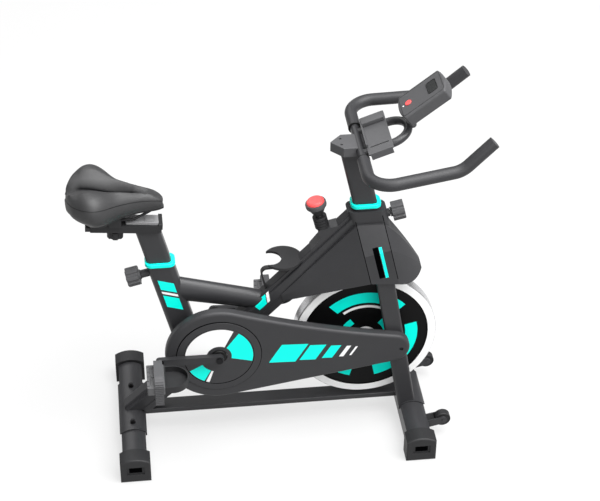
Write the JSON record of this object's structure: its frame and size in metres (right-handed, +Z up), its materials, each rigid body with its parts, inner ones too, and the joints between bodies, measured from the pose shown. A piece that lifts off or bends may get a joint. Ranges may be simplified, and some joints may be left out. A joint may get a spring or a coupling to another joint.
{
  "type": "exercise bike",
  "caption": "Indoor exercise bike with a belt-driven front flywheel, adjustable saddle and handlebar, brake knob, console and floor stabilisers.",
  "frame": {"origin": "On the floor under the middle of the bike's outer box.", "axes": "X points to the handlebar and flywheel end, Y to the rider's left, Z up."},
  "size_m": [1.0752, 0.474, 1.0707],
  "materials": {
    "frame_paint": "satin powder coat, charcoal",
    "bar_paint": "satin powder coat, near black",
    "black_plastic": "moulded, fine grain",
    "grey_plastic": "moulded, satin charcoal",
    "knob_plastic": "moulded, fluted",
    "disc_plastic": null,
    "wheel_disc_plastic": null,
    "cyan_plastic": "moulded, bright cyan",
    "bright_steel": "zinc plated",
    "pulley_metal": "turned",
    "crank_metal": "satin black paint",
    "flywheel_iron": "painted sides with a pale rim",
    "light_plastic": "moulded, light grey",
    "strap_plastic": "flexible strap, grey",
    "belt_rubber": "ribbed belt",
    "saddle_leather": "synthetic cover over foam",
    "grip_foam": "closed-cell foam",
    "console_plastic": "moulded, fine grain",
    "console_lens": "clear window over a blank display",
    "red_plastic": "moulded, red",
    "brake_felt": "dense felt",
    "wheel_plastic": "moulded"
  },
  "bodies": {
    "frame": {"rear_stabiliser": "frame_paint", "front_stabiliser": "frame_paint", "end_caps": "black_plastic", "base_rail": "frame_paint", "frame_fasteners": "bright_steel", "rear_stay": "frame_paint", "main_beam": "frame_paint", "main_tube": "frame_paint", "seat_tube": "frame_paint", "head_tube": "frame_paint", "fork": "frame_paint", "drive_bearings": "bright_steel", "post_collars": "cyan_plastic", "belt_cover_outer": "grey_plastic", "belt_cover_inner": "black_plastic", "cover_disc": "disc_plastic", "drive_belt": "belt_rubber", "head_shroud": "grey_plastic", "bottle_holder": "grey_plastic", "tension_sleeve": "black_plastic"},
    "crank": {"crank_axle": "bright_steel", "drive_pulley": "pulley_metal", "right_crank_arm": "crank_metal", "left_crank_arm": "crank_metal", "pedal_spindles": "bright_steel"},
    "flywheel_group": {"flywheel": "flywheel_iron", "flywheel_discs": "wheel_disc_plastic", "flywheel_axle": "bright_steel", "driven_pulley": "pulley_metal"},
    "right_pedal_group": {"right_pedal": "light_plastic", "right_toe_tray": "black_plastic", "right_toe_strap": "strap_plastic"},
    "left_pedal_group": {"left_pedal": "light_plastic", "left_toe_tray": "black_plastic", "left_toe_strap": "strap_plastic"},
    "seat_post_group": {"seat_post": "frame_paint"},
    "saddle_group": {"seat_carriage": "black_plastic", "carriage_cover": "light_plastic", "saddle_rails": "bright_steel", "saddle_shell": "black_plastic", "saddle_cushion": "saddle_leather"},
    "slide_knob_group": {"slide_knob": "black_plastic"},
    "handlebar_group": {"handlebar_post": "frame_paint", "stem_head": "frame_paint", "handlebar": "bar_paint", "foam_grips": "grip_foam", "console_loop": "bar_paint", "device_cradle": "console_plastic", "console_housing": "console_plastic", "console_lens": "console_lens"},
    "console_button_group": {"console_button": "red_plastic"},
    "seat_pin_group": {"seat_pin": "knob_plastic"},
    "head_pin_group": {"head_pin": "knob_plastic"},
    "brake_group": {"brake_rod": "bright_steel", "brake_pad": "brake_felt"},
    "tension_knob_group": {"tension_knob": "black_plastic", "tension_knob_cap": "red_plastic"},
    "right_transport_group": {"right_transport_wheel": "wheel_plastic"},
    "left_transport_group": {"left_transport_wheel": "wheel_plastic"}
  },
  "joints": [
    {"name": "flywheel_spin", "type": "hinge", "parent": "frame", "child": "flywheel_group", "pos_m": [0.25, 0, 0.28], "axis": [0, 1, 0], "continuous": true},
    {"name": "crank_spin", "type": "hinge", "parent": "frame", "child": "crank", "pos_m": [-0.158, 0, 0.303], "axis": [0, 1, 0], "continuous": true},
    {"name": "right_pedal_spin", "type": "hinge", "parent": "crank", "child": "right_pedal_group", "pos_m": [-0.31792, -0.1805, 0.30803], "axis": [0, 1, 0], "continuous": true},
    {"name": "left_pedal_spin", "type": "hinge", "parent": "crank", "child": "left_pedal_group", "pos_m": [0.00192, 0.1805, 0.29797], "axis": [0, 1, 0], "continuous": true},
    {"name": "seat_height", "type": "slide", "parent": "frame", "child": "seat_post_group", "axis": [-0.2419, 0, 0.9703], "range_m": [-0.08, 0.1]},
    {"name": "saddle_reach", "type": "slide", "parent": "seat_post_group", "child": "saddle_group", "axis": [0.9959, 0, -0.0906], "range_m": [-0.042, 0.024]},
    {"name": "slide_knob_turn", "type": "hinge", "parent": "saddle_group", "child": "slide_knob_group", "pos_m": [-0.41165, 0, 0.6737], "axis": [0.0906, 0, 0.9959], "range_deg": [-180, 180]},
    {"name": "handlebar_height", "type": "slide", "parent": "frame", "child": "handlebar_group", "axis": [-0.225, 0, 0.9744], "range_m": [-0.05, 0.06]},
    {"name": "console_button_push", "type": "slide", "parent": "handlebar_group", "child": "console_button_group", "axis": [0.6157, 0, -0.788], "range_m": [0, 0.0015], "stiffness_N_per_m": 400},
    {"name": "seat_pin_pull", "type": "slide", "parent": "frame", "child": "seat_pin_group", "axis": [-0.9703, 0, -0.2419], "range_m": [0, 0.01], "stiffness_N_per_m": 900},
    {"name": "head_pin_pull", "type": "slide", "parent": "frame", "child": "head_pin_group", "axis": [0.9744, 0, 0.225], "range_m": [0, 0.01], "stiffness_N_per_m": 900},
    {"name": "brake_push", "type": "slide", "parent": "frame", "child": "brake_group", "axis": [0.2419, 0, -0.9703], "range_m": [0, 0.0045], "stiffness_N_per_m": 6000},
    {"name": "tension_knob_turn", "type": "hinge", "parent": "brake_group", "child": "tension_knob_group", "pos_m": [0.128, 0, 0.643], "axis": [-0.2419, 0, 0.9703], "range_deg": [-540, 540]},
    {"name": "right_transport_roll", "type": "hinge", "parent": "frame", "child": "right_transport_group", "pos_m": [0.458, -0.128, 0.056], "axis": [0, 1, 0], "continuous": true},
    {"name": "left_transport_roll", "type": "hinge", "parent": "frame", "child": "left_transport_group", "pos_m": [0.458, 0.128, 0.056], "axis": [0, 1, 0], "continuous": true}
  ],
  "couplings": [
    {"joint": "crank_spin", "follows": "flywheel_spin", "ratio": 0.25}
  ]
}
